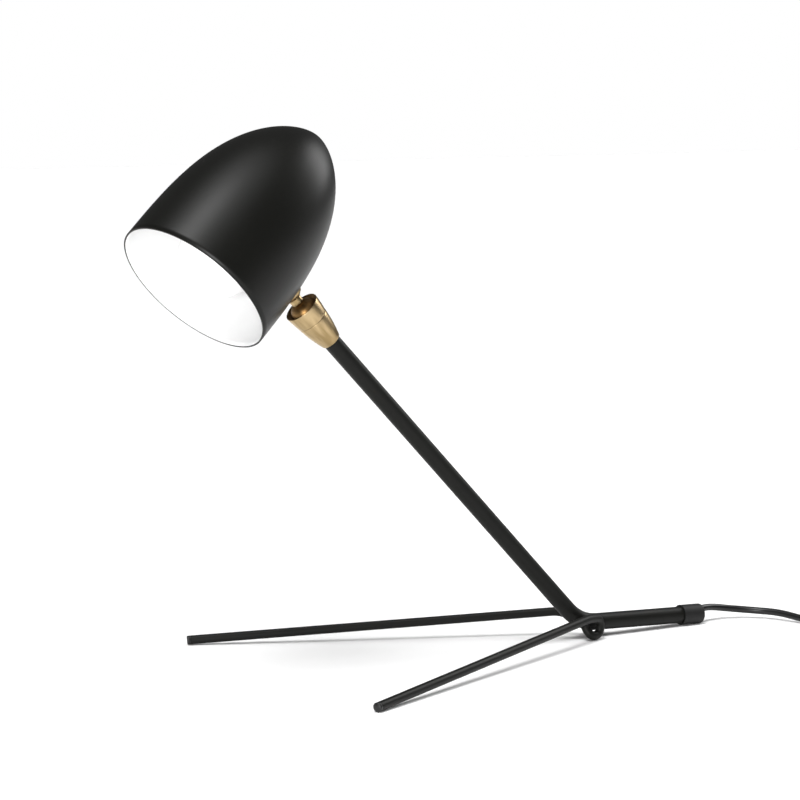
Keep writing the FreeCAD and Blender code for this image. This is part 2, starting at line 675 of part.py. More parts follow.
def build_ball():
    """The brass ball, bored for the leads, with a socket for the shade's stud."""
    socket = sizes.stud_radius + sizes.close_fit
    floor = -(sizes.stud_down + sizes.seam)
    top = on_ball(sizes.ball_radius, socket)
    bottom = on_ball(sizes.ball_radius, sizes.stud_bore_radius)
    points = [
        (sizes.stud_bore_radius, -bottom), (sizes.ball_radius, 0), (socket, top), (socket, floor),
        (sizes.stud_bore_radius, floor)]
    return turned("joint_ball", points, head_frame, {0: -sizes.ball_radius, 1: -sizes.ball_radius})


def build_stud():
    """The hollow stud: a spigot in the ball, a neck, and a thread through the shade's wall."""
    thread = sizes.stud_radius
    points = [
        (sizes.stud_bore_radius, -sizes.stud_down), (sizes.stud_radius, -sizes.stud_down),
        (sizes.stud_radius, sizes.neck_up), (sizes.neck_radius, sizes.neck_up),
        (sizes.neck_radius, sizes.boss_up), (thread, sizes.boss_up), (thread, sizes.stud_end_up),
        (sizes.stud_bore_radius, sizes.stud_end_up)]
    return turned("ball_stud", points, head_frame)


def dome_outline(radius, depth, count=16):
    """The shade's outline in its own frame, from mouth to crown: a superellipse with two powers."""
    points = []
    for i in range(count + 1):
        angle = math.pi / 2 * i / count
        across = radius * math.cos(angle) ** (2 / mm("shade_crown_power")) if i < count else 0.0
        along = depth * math.sin(angle) ** (2 / mm("shade_side_power"))
        points.append(Vector(across, 0, mouth_height() + along))
    curve = Part.BSplineCurve()
    curve.interpolate(points, InitialTangent=Vector(0, 0, 1), FinalTangent=Vector(-1, 0, 0))
    return curve.toShape()


def dome(radius, depth):
    """The solid inside such an outline, standing on its mouth."""
    side = dome_outline(radius, depth)
    low = Vector(0, 0, mouth_height())
    axis = Part.LineSegment(low + Vector(0, 0, depth), low).toShape()
    base = Part.LineSegment(low, low + Vector(radius, 0, 0)).toShape()
    face = Part.Face(Part.Wire([side, axis, base]))
    return face.revolve(Vector(0, 0, 0), Vector(0, 0, 1), 360)


def in_shade_frame(shape):
    """A shape of the head's frame, moved to the shade's own frame."""
    moved = shape.copy()
    moved.Placement = shade_seat.inverse().multiply(moved.Placement)
    return moved


def build_shade():
    """The spun aluminium shade with the hole for the stud in its side."""
    outer = dome(mm("shade_radius"), mm("shade_depth"))
    inner = dome(mm("shade_radius") - mm("shade_wall"), mm("shade_depth") - mm("shade_wall"))
    hole = Part.makeCylinder(
        mm("stud_radius") + mm("stud_hole_gap"), shade_off, Vector(), Vector(0, 0, 1))
    shell = outer.cut(inner).cut(in_shade_frame(hole))
    shade = made("shade", shell, shade_frame)
    bore_radius = mm("stud_radius") + mm("close_fit")
    boss_bore = Part.makeCylinder(bore_radius, shade_off, Vector(), Vector(0, 0, 1))
    cone_length = mm("boss_radius") - mm("boss_foot_radius")
    foot = Part.makeCone(
        mm("boss_foot_radius"), mm("boss_radius"), cone_length, Vector(0, 0, mm("boss_up")), Vector(0, 0, 1))
    barrel = Part.makeCylinder(
        mm("boss_radius"), 10, Vector(0, 0, mm("boss_up") + cone_length), Vector(0, 0, 1))
    boss = in_shade_frame(foot.fuse(barrel).removeSplitter().cut(boss_bore)).cut(outer)
    spacer = Part.makeCylinder(
        mm("spacer_radius"), 10, Vector(0, 0, mm("foot_plate_up")), Vector(0, 0, -1))
    spacer = in_shade_frame(spacer.cut(boss_bore)).common(inner)
    return [shade, made("stud_boss", boss, shade_frame), made("inner_spacer", spacer, shade_frame)]


def build_bracket():
    """A folded steel strip: its foot is clamped on the stud, its ring holds the lampholder."""
    near = shade_off - mm("foot_plate_up") - mm("plate")
    far = near + mm("plate")
    half = mm("plate_width") / 2
    top = mm("bracket_up") + mm("plate")
    strip = Part.makeBox(
        mm("plate"), 2 * half, top - mm("bracket_foot"), Vector(near, -half, mm("bracket_foot")))
    arm = Part.makeBox(far, 2 * half, mm("plate"), Vector(0, -half, mm("bracket_up")))
    ring = Part.makeCylinder(mm("ring_radius"), mm("plate"), Vector(0, 0, mm("bracket_up")))
    hole = Part.makeCylinder(
        mm("holder_radius") + mm("seam"), 3 * mm("plate"), Vector(0, 0, mm("bracket_up") - mm("plate")))
    stud_hole = in_shade_frame(Part.makeCylinder(mm("stud_radius") + mm("close_fit"), shade_off))
    bracket = strip.fuse(arm).fuse(ring).removeSplitter().cut(hole).cut(stud_hole)
    return made("holder_bracket", bracket, shade_frame)


def build_stud_nut():
    """A lock washer and a nut clamp the bracket, the spacer, the wall and the boss together."""
    start = sizes.foot_plate_up + sizes.plate
    bore = sizes.stud_radius + sizes.close_fit
    top = start + sizes.washer_height
    points = [(bore, start), (sizes.washer_radius, start), (sizes.washer_radius, top), (bore, top)]
    washer = turned("lock_washer", points, head_frame)
    nut = hexagon_nut("stud_nut", sizes.stud_nut_flat, top, sizes.stud_nut_height, bore, head_frame)
    return [washer, nut]


def build_lampholder():
    """The lampholder: moulded body with flange, threaded ring, screw shell and centre contact."""
    low = sizes.bracket_up - sizes.holder_flange
    top = sizes.bracket_up + sizes.holder_thread
    shoulder = sizes.holder_top - sizes.holder_flange * 3
    cable = sizes.holder_lead_radius + sizes.seam
    points = [
        (sizes.holder_bore_radius, low), (sizes.holder_flange_radius, low),
        (sizes.holder_flange_radius, sizes.bracket_up), (sizes.holder_radius, sizes.bracket_up),
        (sizes.holder_radius, top), (sizes.holder_body_radius, top), (sizes.holder_body_radius, shoulder),
        (sizes.holder_body_radius - sizes.holder_flange * 3, sizes.holder_top), (cable, sizes.holder_top),
        (cable, sizes.holder_bore_end), (sizes.holder_bore_radius, sizes.holder_bore_end)]
    pieces = [turned("lampholder_body", points, shade_frame)]
    ring_low = sizes.bracket_up + sizes.plate
    ring_top = ring_low + sizes.holder_ring_height
    bore = sizes.holder_radius + sizes.close_fit
    points = [
        (bore, ring_low), (sizes.holder_ring_radius, ring_low), (sizes.holder_ring_radius, ring_top),
        (bore, ring_top)]
    pieces.append(turned("lampholder_ring", points, shade_frame))
    outside = sizes.holder_bore_radius - sizes.close_fit
    inside = sizes.cap_shell_radius + sizes.thread_gap
    low = sizes.bracket_up
    top = sizes.cap_shell_end + sizes.contact_height
    points = [(inside, low), (outside, low), (outside, top), (inside, top)]
    pieces.append(turned("lampholder_shell", points, shade_frame))
    start = sizes.cap_shell_end + sizes.contact_height + sizes.seam
    tab_top = start + sizes.spring_tab
    points = [
        (cable, start), (sizes.cap_shell_radius, start), (sizes.cap_shell_radius, tab_top),
        (sizes.contact_radius, tab_top), (sizes.contact_radius, sizes.holder_bore_end),
        (cable, sizes.holder_bore_end)]
    pieces.append(turned("lampholder_contact", points, shade_frame))
    return pieces


def build_bulb():
    """The lamp bulb: frosted globe, screw cap and tip contact."""
    centre = sizes.globe_centre
    radius = sizes.globe_radius
    tip = centre - radius
    shoulder = root(radius * radius - (sizes.globe_shoulder - centre) * (sizes.globe_shoulder - centre))
    inner = radius - sizes.globe_wall
    inner_shoulder = root(inner * inner - (sizes.globe_shoulder - centre) * (sizes.globe_shoulder - centre))
    neck = sizes.cap_shell_radius
    throat = neck - sizes.globe_wall * 2
    points = [
        (0, tip), (radius, centre), (shoulder, sizes.globe_shoulder), (neck, sizes.cap_shell_start),
        (throat, sizes.cap_shell_start), (inner_shoulder, sizes.globe_shoulder), (inner, centre),
        (0, tip + sizes.globe_wall)]
    arcs = {0: -radius, 1: -radius, 5: inner, 6: inner}
    pieces = [turned("bulb_globe", points, shade_frame, arcs)]
    hollow = sizes.cap_shell_radius - sizes.shell_wall
    floor = sizes.cap_shell_end - sizes.shell_wall * 2
    low = sizes.cap_shell_start + sizes.close_fit
    points = [
        (hollow, low), (sizes.cap_shell_radius, low), (sizes.cap_shell_radius, sizes.cap_shell_end),
        (0, sizes.cap_shell_end), (0, floor), (hollow, floor)]
    pieces.append(turned("bulb_cap", points, shade_frame))
    top = sizes.cap_shell_end + sizes.contact_height
    points = [
        (0, sizes.cap_shell_end), (sizes.contact_radius * 2, sizes.cap_shell_end), (sizes.contact_radius, top),
        (0, top)]
    pieces.append(turned("bulb_contact", points, shade_frame))
    return pieces


def build_leads():
    """The lead inside the tube, and the one from the stud to the back of the lampholder."""
    top = ball_centre - stem_up * (mm("seat_base_down") - mm("seam"))
    start = rear_frame.multVec(Vector(-mm("cord_offset"), 0, -mm("cap_end_wall") - mm("seam")))
    bush_end = rear_frame.multVec(Vector(-mm("cord_offset"), 0, -mm("cap_end_wall") - 2 * mm("bush_length")))
    settle = rear_frame.multVec(Vector(0, 0, -mm("cap_end_wall") - 3 * mm("bush_length")))
    edges, _ = rounded_route([start, bush_end, settle, bend, top], radii={3: mm("bend_radius")})
    inner = made("inner_lead", swept(edges, mm("inner_lead_radius")))
    stud_end = Vector(shade_off - mm("stud_end_up"), 0, mm("shade_along"))
    side = mm("plate_width") / 2 + 2 * mm("holder_lead_radius")
    out = mm("holder_body_radius") + 4 * mm("holder_lead_radius")
    top = mm("holder_top")
    route = [
        stud_end + Vector(mm("stud_nut_height"), 0, 0), stud_end + Vector(-5, 0, 0),
        Vector(out + 4, side, mm("bracket_up") - 2), Vector(out + 1, side, mm("bracket_up") + 12),
        Vector(out, side / 2, top - 10), Vector(out / 2 + 4, 1, top + 7), Vector(0, 0, top + 8),
        Vector(0, 0, mm("holder_bore_end"))]
    edges, radii = rounded_route(route)
    print("holder lead radii", [round(r, 1) for r in radii])
    return [inner, made("holder_lead", swept(edges, mm("holder_lead_radius")), shade_frame)]


parts = [build_stem_tube()] + build_leg_rods() + [build_rear_cap(), build_cord_bush()]
parts += build_foot_tips()
parts += [build_cup(), build_collar(), build_seat(), build_spring()] + build_nipple()
parts += [build_ball(), build_stud()] + build_shade() + [build_bracket()] + build_stud_nut()
parts += build_lampholder() + build_bulb() + build_leads() + build_cord()

doc.recompute()
for item in doc.Objects:
    if "Invalid" in item.State or "Error" in item.State:
        raise RuntimeError("%s is %s" % (item.Name, item.State))
for piece in parts:
    if piece.Shape.isNull() or not piece.Shape.isValid() or not piece.Shape.Solids:
        raise RuntimeError("%s has no valid solid" % piece.Label)
    piece.Shape.exportStep("parts/%s.step" % piece.Label)
    print("%-20s solids %d volume %.1f" % (piece.Label, len(piece.Shape.Solids), piece.Shape.Volume))
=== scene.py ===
# %% [markdown]
# # A tripod table lamp, dressed for its photograph
# The lamp's solids come from a CAD model that is already packed. They say where every piece is and how it
# moves. Here each piece gets the surface that the real one has. The frame is loaded first.

# %% Load the frame
import bmesh
import bpy
import math
from mathutils import Matrix, Vector


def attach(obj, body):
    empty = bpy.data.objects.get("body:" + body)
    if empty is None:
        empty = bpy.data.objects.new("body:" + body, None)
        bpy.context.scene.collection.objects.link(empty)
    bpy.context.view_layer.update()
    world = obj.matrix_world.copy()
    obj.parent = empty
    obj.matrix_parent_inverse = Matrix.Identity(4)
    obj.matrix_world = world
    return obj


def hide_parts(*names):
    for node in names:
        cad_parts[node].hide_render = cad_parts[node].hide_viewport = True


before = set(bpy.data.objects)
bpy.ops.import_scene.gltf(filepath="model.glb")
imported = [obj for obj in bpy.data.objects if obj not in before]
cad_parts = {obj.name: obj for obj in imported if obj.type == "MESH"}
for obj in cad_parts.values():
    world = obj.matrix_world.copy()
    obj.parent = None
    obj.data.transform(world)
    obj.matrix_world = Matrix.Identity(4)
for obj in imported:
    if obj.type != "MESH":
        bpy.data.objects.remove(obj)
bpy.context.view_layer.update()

# %% [markdown]
# ## The camera
# The lamp was photographed with a long lens from its left front, a little above the table. A long lens
# keeps parallel tubes nearly parallel. The camera's place and direction were worked out from the tube,
# the two front legs and the rear leg, so it is set by numbers and a direction, not by a target object.

# %% Place the camera
eye = Vector((-0.91520, -1.41997, 0.34990))
gaze = Vector((0.52757, 0.84111, -0.11920))
lens_mm = 135.68

camera = bpy.data.objects.new("camera", bpy.data.cameras.new("camera"))
bpy.context.scene.collection.objects.link(camera)
camera.location = eye
camera.rotation_euler = gaze.to_track_quat("-Z", "Y").to_euler()
camera.data.sensor_fit = "HORIZONTAL"
camera.data.sensor_width = 36.0
camera.data.lens = lens_mm
camera.data.clip_start = 0.05
bpy.context.scene.camera = camera
bpy.context.scene.view_settings.view_transform = "Standard"
print("camera", [round(x, 3) for x in camera.location], "lens", lens_mm)

# %% [markdown]
# ## The cord
# A mains cord is one flexible tube, so it is one curve with a round section. Its control points are the
# corners of the route that the CAD tube follows: out of the rear cap, down to the table, and past the
# edge of the picture. The rest of the 1.7 metres is put away in a coil, whose points come from its own
# rule: a spiral that goes in and out, and climbs one layer where it turns back. A NURBS curve of order 3
# stays inside its points, so the coil's points stand a little further out than its turns.

# %% The cord's route
cord_radius = 0.0021
route_out = [
    (179.7, 0.0, 6.9), (188.4, 0.0, 8.5), (199.9, 3.5, 8.0), (213.5, 2.9, 5.6), (227.3, -5.4, 4.3),
    (235.2, -18.8, 4.4), (240.5, -37.3, 2.3), (242.4, -47.9, 2.4), (240.3, -58.0, 2.6), (240.3, -67.0, 2.8)]
route_tail = [
    (243.1, -75.85, 16.9), (242.9, -87.0, 15.8), (244.7, -99.0, 12.5), (250.2, -110.5, 9.5),
    (258.7, -119.5, 7.2), (269.7, -124.5, 6.85)]


# %% The coil's rule
def coil_points(points_per_turn=16):
    """The coil's control points in millimetres, from the bottom layer to the top one."""
    inner, side_step, layer_step = 18.0, 5.6, 4.7
    bottom_height, start_shift = 2.8, 4.3
    layer_turns = [2.5, 2, 2, 2]
    per_half = points_per_turn // 2
    radius, height = inner + side_step * layer_turns[0], bottom_height
    stations = [(radius, height)]
    for layer, turns in enumerate(layer_turns):
        way = -1 if layer % 2 == 0 else 1
        for _ in range(int(points_per_turn * turns)):
            radius += way * side_step / points_per_turn
            stations.append((radius, height))
        if layer < len(layer_turns) - 1:
            for _ in range(per_half):
                height += layer_step / per_half
                stations.append((radius, height))
    step = 2 * math.pi / points_per_turn
    centre = Vector((route_out[-1][0] + stations[0][0], route_out[-1][1] - start_shift, 0))
    points = []
    for i, (radius, height) in enumerate(stations):
        reach = radius / math.cos(step / 2)
        angle = math.pi + step * i
        points.append(centre + Vector((reach * math.cos(angle), reach * math.sin(angle), height)))
    return points


# %% A tube along a route
def cord_curve(name, points, radius):
    """A round tube along a NURBS curve of order 3 that starts and ends at its outer points.

    Its thickness is set on its points, with a bevel of 1: a curve's box grows by its points' radius."""
    curve = bpy.data.curves.new(name, "CURVE")
    curve.dimensions = "3D"
    curve.bevel_depth = 1.0
    curve.bevel_resolution = 6
    curve.use_fill_caps = True
    spline = curve.splines.new("NURBS")
    spline.points.add(len(points) - 1)
    for point, place in zip(spline.points, points):
        point.co = (*(x / 1000 for x in place), 1)
        point.radius = radius
    spline.order_u = 3
    spline.use_endpoint_u = True
    spline.resolution_u = 6
    piece = bpy.data.objects.new(name, curve)
    bpy.context.scene.collection.objects.link(piece)
    return piece


cord = cord_curve("mains_cord", route_out + coil_points() + route_tail, cord_radius)
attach(cord, "base")
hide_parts("cord", "cord_coil", "cord_tail")
print("cord control points", len(cord.data.splines[0].points))

# %% [markdown]
# ## Shader arithmetic
# Blender's shader nodes do sums, but long chains of them are hard to read. A small class holds one socket
# and answers Python's operators with Math nodes, so a pattern can be written as one expression. Every
# other node comes from one method that takes the node's type, its settings and its inputs.

# %% A socket that does arithmetic
class Signal:
    """One output socket of a node tree."""

    def __init__(self, tree, socket):
        self.tree = tree
        self.socket = socket

    def node(self, kind, settings=None, inputs=None, output=0):
        """A new node of this tree. Settings are set first, then the values or links of its sockets."""
        made = self.tree.nodes.new(kind)
        for name, value in (settings or {}).items():
            if name == "stops":
                ramp = made.color_ramp
                while len(ramp.elements) < len(value):
                    ramp.elements.new(0.5)
                for stop, (place, shade) in zip(ramp.elements, value):
                    stop.position = place
                    stop.color = (shade, shade, shade, 1)
            else:
                setattr(made, name, value)
        for key, value in (inputs or {}).items():
            if isinstance(value, Signal):
                self.tree.links.new(value.socket, made.inputs[key])
            else:
                made.inputs[key].default_value = value
        return Signal(self.tree, made.outputs[output])

    def maths(self, operation, other):
        return self.node("ShaderNodeMath", {"operation": operation}, {0: self, 1: other})

    def __add__(self, other):
        return self.maths("ADD", other)

    def __mul__(self, other):
        return self.maths("MULTIPLY", other)

    __radd__ = __add__
    __rmul__ = __mul__

    def noise(self, scale, detail=3.0, roughness=0.5):
        """Noise from 0 to 1 over these coordinates. Scale is in waves per metre."""
        return self.node("ShaderNodeTexNoise", {}, {
            "Vector": self, "Scale": scale, "Detail": detail, "Roughness": roughness})

    def turned(self, turn, scale=(1, 1, 1)):
        """Coordinates turned by Euler angles and then stretched."""
        point = {"vector_type": "POINT"}
        around = self.node("ShaderNodeMapping", point, {"Vector": self, "Rotation": turn})
        return self.node("ShaderNodeMapping", point, {"Vector": around, "Scale": scale})

    def between(self, low, high):
        """A colour from low to high as this value goes from 0 to 1."""
        return self.node(
            "ShaderNodeMix", {"data_type": "RGBA"}, {0: self, 6: (*low, 1), 7: (*high, 1)}, output=2)

    def ramp(self, *stops):
        """This value through a ramp of (place, grey) stops."""
        return self.node("ShaderNodeValToRGB", {"stops": stops}, {0: self})

    def bump(self, strength, distance):
        """A bumped normal from this height."""
        return self.node("ShaderNodeBump", {}, {"Height": self, "Strength": strength, "Distance": distance})


# %% A finish
def finish(name, fixed, varying):
    """A material: fixed values on the shader's sockets, and a function of the place for the rest."""
    material = bpy.data.materials.new(name)
    material.use_nodes = True
    tree = material.node_tree
    shader = tree.nodes["Principled BSDF"]
    for socket, value in fixed.items():
        shader.inputs[socket].default_value = value
    coordinates = tree.nodes.new("ShaderNodeTexCoord")
    place = Signal(tree, coordinates.outputs["Object"])
    for socket, signal in varying(place).items():
        tree.links.new(signal.socket, shader.inputs[socket])
    print("finish", name)
    return material


# %% [markdown]
# ## Black paint and black plastics
# The tube, the rods and the shade are sprayed in a satin black. Such paint isn't a flat colour: it has a
# fine texture that softens its highlights, and its gloss changes slowly over a surface. Its mirror part
# is weak, so the specular level is low. Rubber is duller, and the cord's smooth sheath is glossier.

# %% Black finishes
def satin(place, grain, colour_low, colour_high, rough_low, rough_high, depth):
    """A sprayed surface: slow changes of gloss, faint changes of colour and a fine grain."""
    slow = place.noise(18.0, 2.0)
    fine = place.noise(grain, 4.0, 0.6)
    return {
        "Base Color": slow.between(colour_low, colour_high),
        "Roughness": rough_low + (rough_high - rough_low) * (0.6 * slow + 0.4 * fine),
        "Normal": fine.bump(0.25, depth)}


black_paint = finish(
    "black_paint", {"Specular IOR Level": 0.17},
    lambda place: satin(
        place, 1400.0, (0.0042, 0.0043, 0.0036), (0.0066, 0.0067, 0.0056), 0.42, 0.54, 0.00006))
shade_paint = finish(
    "shade_paint", {"Specular IOR Level": 0.21},
    lambda place: satin(
        place, 900.0, (0.0030, 0.0031, 0.0025), (0.0046, 0.0047, 0.0038), 0.36, 0.44, 0.00004))
black_rubber = finish(
    "black_rubber", {"Specular IOR Level": 0.25},
    lambda place: satin(
        place, 2200.0, (0.007, 0.007, 0.007), (0.013, 0.013, 0.013), 0.5, 0.66, 0.00008))
black_plastic = finish(
    "black_plastic", {"Specular IOR Level": 0.35},
    lambda place: satin(
        place, 1800.0, (0.007, 0.007, 0.007), (0.012, 0.012, 0.012), 0.38, 0.5, 0.00005))
cord_sheath = finish(
    "cord_sheath", {"Specular IOR Level": 0.35},
    lambda place: satin(
        place, 700.0, (0.004, 0.004, 0.004), (0.008, 0.008, 0.008), 0.26, 0.36, 0.00005))
cord.data.materials.append(cord_sheath)

# %% [markdown]
# ## Turned brass
# The cup, the collar, the ball and the boss are turned on a lathe and left bare. The tool leaves very
# fine rings round the axis, which draw the highlights out along it. The rings are noise that changes
# quickly along the axis and not at all round it, so the coordinates are turned until the stem's axis is
# Z, and the noise is stretched. Reflections of the room are painted into the brass's colour as lighter
# and darker streaks along the axis, which is noise stretched the other way. Inside the collar, and on
# the ball, the brass is painted dark brown, as painted shade and a painted reflection of the black
# lampshade.

# %% Where the joint and the shade are
stem_angle = math.radians(46.08)
rest_turn, rest_tilt = math.radians(7.2), math.radians(1.1)
bend_place, stem_reach = Vector((0.09947, 0, 0.009)), 0.2666
shade_along, shade_off = 0.042, 0.0611

stem_up = Vector((-math.cos(stem_angle), 0, math.sin(stem_angle)))
ball_centre = bend_place + stem_up * stem_reach
stem_place = Matrix.Translation(ball_centre) @ Matrix.Rotation(stem_angle - math.pi / 2, 4, "Y")
head_place = stem_place @ Matrix.Rotation(rest_turn, 4, "Z") @ Matrix.Rotation(rest_tilt, 4, "Y")
shade_seat = Matrix.Translation((-shade_along, 0, shade_off)) @ Matrix.Rotation(math.pi / 2, 4, "Y")
shade_place = head_place @ shade_seat
print("ball centre", [round(x, 4) for x in ball_centre])


# %% Brass
def turned_metal(place, low, high, rough_low, rough_high):
    """Fine rings round the stem's axis, and painted reflection streaks of colour, with streaks of gloss,
    along it.
    """
    turn = (0, math.pi / 2 - stem_angle, 0)
    rings = place.turned(turn, (1, 1, 60)).noise(90.0, 3.0, 0.7)
    # Painted reflection: noise stretched along the axis makes the brass's colour lighter and darker in
    # streaks.
    reflection_streaks = place.turned(turn, (1, 1, 0.08)).noise(260.0, 2.0).ramp((0.36, 0.0), (0.64, 1.0))
    return {
        # The colour mixes the rings with the painted reflection streaks.
        "Base Color": (0.25 * rings + 0.75 * reflection_streaks).between(low, high),
        "Roughness": rough_low + (rough_high - rough_low) * (0.5 * rings + 0.5 * reflection_streaks),
        "Normal": rings.bump(0.08, 0.00003)}


brass = finish(
    "turned_brass", {"Metallic": 1.0},
    lambda place: turned_metal(place, (0.30, 0.21, 0.095), (0.56, 0.42, 0.235), 0.26, 0.38))
# Painted shade and a painted reflection of the black lampshade: dark brass for the ball and the collar's
# inside.
shaded_brass = finish(
    "shaded_brass", {"Metallic": 1.0},
    lambda place: turned_metal(place, (0.17, 0.09, 0.03), (0.36, 0.22, 0.09), 0.38, 0.5))
brass_sheet = finish(
    "brass_sheet", {"Metallic": 1.0},
    lambda place: turned_metal(place, (0.55, 0.40, 0.20), (0.65, 0.48, 0.25), 0.25, 0.35))
steel = finish(
    "plain_steel", {"Metallic": 1.0},
    lambda place: turned_metal(place, (0.45, 0.45, 0.45), (0.58, 0.58, 0.58), 0.3, 0.42))
pin_metal = finish(
    "plated_pins", {"Metallic": 1.0},
    lambda place: turned_metal(place, (0.62, 0.62, 0.62), (0.72, 0.72, 0.72), 0.12, 0.22))
bulb_metal = finish(
    "bulb_cap_metal", {"Metallic": 1.0},
    lambda place: turned_metal(place, (0.6, 0.6, 0.6), (0.7, 0.7, 0.7), 0.25, 0.35))

# %% [markdown]
# ## White inside the shade
# The shade is white inside, to throw the light out. The lampholder, its bracket and the frosted bulb are
# white too, so they show only by their edges. Each is nearly the same white with its own gloss: chalky
# paint, smooth plastic, and glass that is frosted from inside.

# %% White finishes
white_paint = finish(
    "white_paint", {"Specular IOR Level": 0.3},
    lambda place: satin(
        place, 1100.0, (0.86, 0.86, 0.86), (0.90, 0.90, 0.90), 0.5, 0.65, 0.00003))
white_plastic = finish(
    "white_plastic", {"Specular IOR Level": 0.4},
    lambda place: satin(
        place, 1500.0, (0.84, 0.84, 0.83), (0.88, 0.88, 0.87), 0.35, 0.45, 0.00003))
frosted_glass = finish(
    "frosted_glass", {"Specular IOR Level": 0.5, "Coat Weight": 0.3, "Coat Roughness": 0.08},
    lambda place: satin(
        place, 600.0, (0.87, 0.87, 0.865), (0.91, 0.91, 0.905), 0.25, 0.35, 0.00001))
white_lead = finish(
    "white_lead", {"Specular IOR Level": 0.45},
    lambda place: satin(
        place, 900.0, (0.80, 0.80, 0.80), (0.86, 0.86, 0.86), 0.3, 0.4, 0.00003))

# %% [markdown]
# ## Spun pieces
# Most of the joint is turned on a lathe, and the shade is spun over a form. Both are solids of
# revolution, so both are made the same way: a few points draw half of the section, its corners are
# rounded by a small bevel, and the spin operator carries it round the axis. The mesh is then moved to its
# place, so the object itself stays at the origin, as the CAD pieces do.

# %% A lathe
def arc(start, end, radius, steps=10):
    """Points of a circle that bulges away from the axis, from start to end, in (radius, height)."""
    start, end = Vector(start), Vector(end)
    chord = end - start
    outwards = Vector((chord.y, -chord.x)).normalized()
    if outwards.x < 0:
        outwards.negate()
    drop = math.sqrt(radius ** 2 - chord.length_squared / 4)
    centre = (start + end) / 2 - outwards * drop
    first = start - centre
    total = first.angle_signed(end - centre)
    return [tuple(centre + Matrix.Rotation(-total * i / steps, 2) @ first) for i in range(steps + 1)]


# %% Spin an outline
def lathe(name, outline, place, rounding=0.15, closed=True, steps=96):
    """Spins an outline in millimetres round the local Z axis and puts the result at place."""
    mesh = bpy.data.meshes.new(name)
    form = bmesh.new()
    corners = [form.verts.new((x / 1000, 0, z / 1000)) for x, z in outline]
    count = len(corners)
    widest_corner = math.radians(160)
    for i in range(count if closed else count - 1):
        form.edges.new((corners[i], corners[(i + 1) % count]))
    if rounding:
        sharp = []
        for vert in corners:
            if len(vert.link_edges) == 2:
                ways = [(edge.other_vert(vert).co - vert.co).normalized() for edge in vert.link_edges]
                if ways[0].angle(ways[1]) < widest_corner:
                    sharp.append(vert)
        bmesh.ops.bevel(
            form, geom=sharp, offset=rounding / 1000, offset_type="OFFSET", affect="VERTICES", segments=3,
            profile=0.5, clamp_overlap=True, material=-1)
    bmesh.ops.spin(
        form, geom=form.verts[:] + form.edges[:], cent=(0, 0, 0), axis=(0, 0, 1), angle=2 * math.pi,
        steps=steps, use_merge=True)
    bmesh.ops.remove_doubles(form, verts=form.verts[:], dist=1e-6)
    bmesh.ops.recalc_face_normals(form, faces=form.faces[:])
    bmesh.ops.transform(form, matrix=place, verts=form.verts[:])
    form.to_mesh(mesh)
    form.free()
    return mesh


# %% A second finish inside
def paint_inside(mesh, place):
    """Gives the second material, the painted shade, to the faces that look towards the local Z axis of
    place.
    """
    back = place.inverted()
    for face in mesh.polygons:
        middle, normal = back @ face.center, back.to_3x3() @ face.normal
        if middle.x * normal.x + middle.y * normal.y < 0:
            face.material_index = 1


# %% A piece of the lamp
def add_piece(name, mesh, body, materials, replaced=(), angle=35):
    """Makes a mesh a piece of the lamp on its body, smooth but for its edges, in place of CAD nodes."""
    mesh.shade_smooth()
    mesh.set_sharp_from_angle(angle=math.radians(angle))
    piece = bpy.data.objects.new(name, mesh)
    bpy.context.scene.collection.objects.link(piece)
    for material in materials:
        mesh.materials.append(material)
    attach(piece, body)
    if replaced:
        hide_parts(*replaced)
    print("piece", name, "faces", len(mesh.polygons))
    return piece


# %% [markdown]
# ## The shade
# The shade's side rises almost straight from the mouth and closes in a round crown. A superellipse gives
# that line with two powers, one for the side and one for the crown. The spun skin gets its thickness from
# a Solidify modifier, which gives the inner skin the second material, the white one. The edge of the
# mouth stays black.

# %% Spin the shade
shade_radius, shade_depth = 45.5, 116.3
side_power, crown_power = 3.026, 1.533


def shade_line(count):
    """Half of the shade's section in millimetres, from the mouth to the top of the crown."""
    line = []
    for i in range(count + 1):
        height = math.sin(math.pi / 2 * i / count)
        line.append((shade_radius * (1 - height ** side_power) ** (1 / crown_power), shade_depth * height))
    return line


shade_mesh = lathe("spun_shade", shade_line(56), shade_place, rounding=0, closed=False, steps=160)
shade = add_piece(
    "spun_shade", shade_mesh, "head", [shade_paint, white_paint], ["shade"], 60)
wall = shade.modifiers.new("wall", "SOLIDIFY")
wall.thickness = 0.001
wall.offset = -1
wall.material_offset = 1
wall.material_offset_rim = 0
print("shade deep", shade_depth, "wide", 2 * shade_radius)

# %% [markdown]
# ## The ball joint
# A cup on the stem and a collar screwed on it hold the ball. Where they meet there is a fine dark line,
# which is a real gap here. The outline of both follows one long arc, from the narrow foot of the cup to
# the wide mouth.

# %% The joint's sizes, in millimetres from the centre of the ball
close_fit, seam = 0.05, 0.1
cup_foot, cup_foot_radius, tube_radius = -22.9, 5.9, 5.0
split, split_radius, side_round = -5.6, 9.2, 90.0
mouth, mouth_radius, mouth_lip, mouth_bevel = 4.0, 10.25, 0.35, 0.15
spigot_top, spigot_radius, seat_radius, shelf = -3.0, 8.55, 7.65, -10.8
nut_radius, web_top, web_foot, nipple_radius = 6.2, -14.2, -16.4, 3.9
ball_radius, ball_gap, lip = 8.0, 0.1, 2.6
stud_radius, stud_bore, stud_foot, stud_end = 3.0, 2.2, -1.9, 27.4
neck_radius, neck_foot, neck_end = 3.6, 7.5, 11.4


def on_circle(radius, distance):
    """Where a circle about the ball's centre is on one axis, at this distance on the other."""
    return math.sqrt(radius ** 2 - distance ** 2)


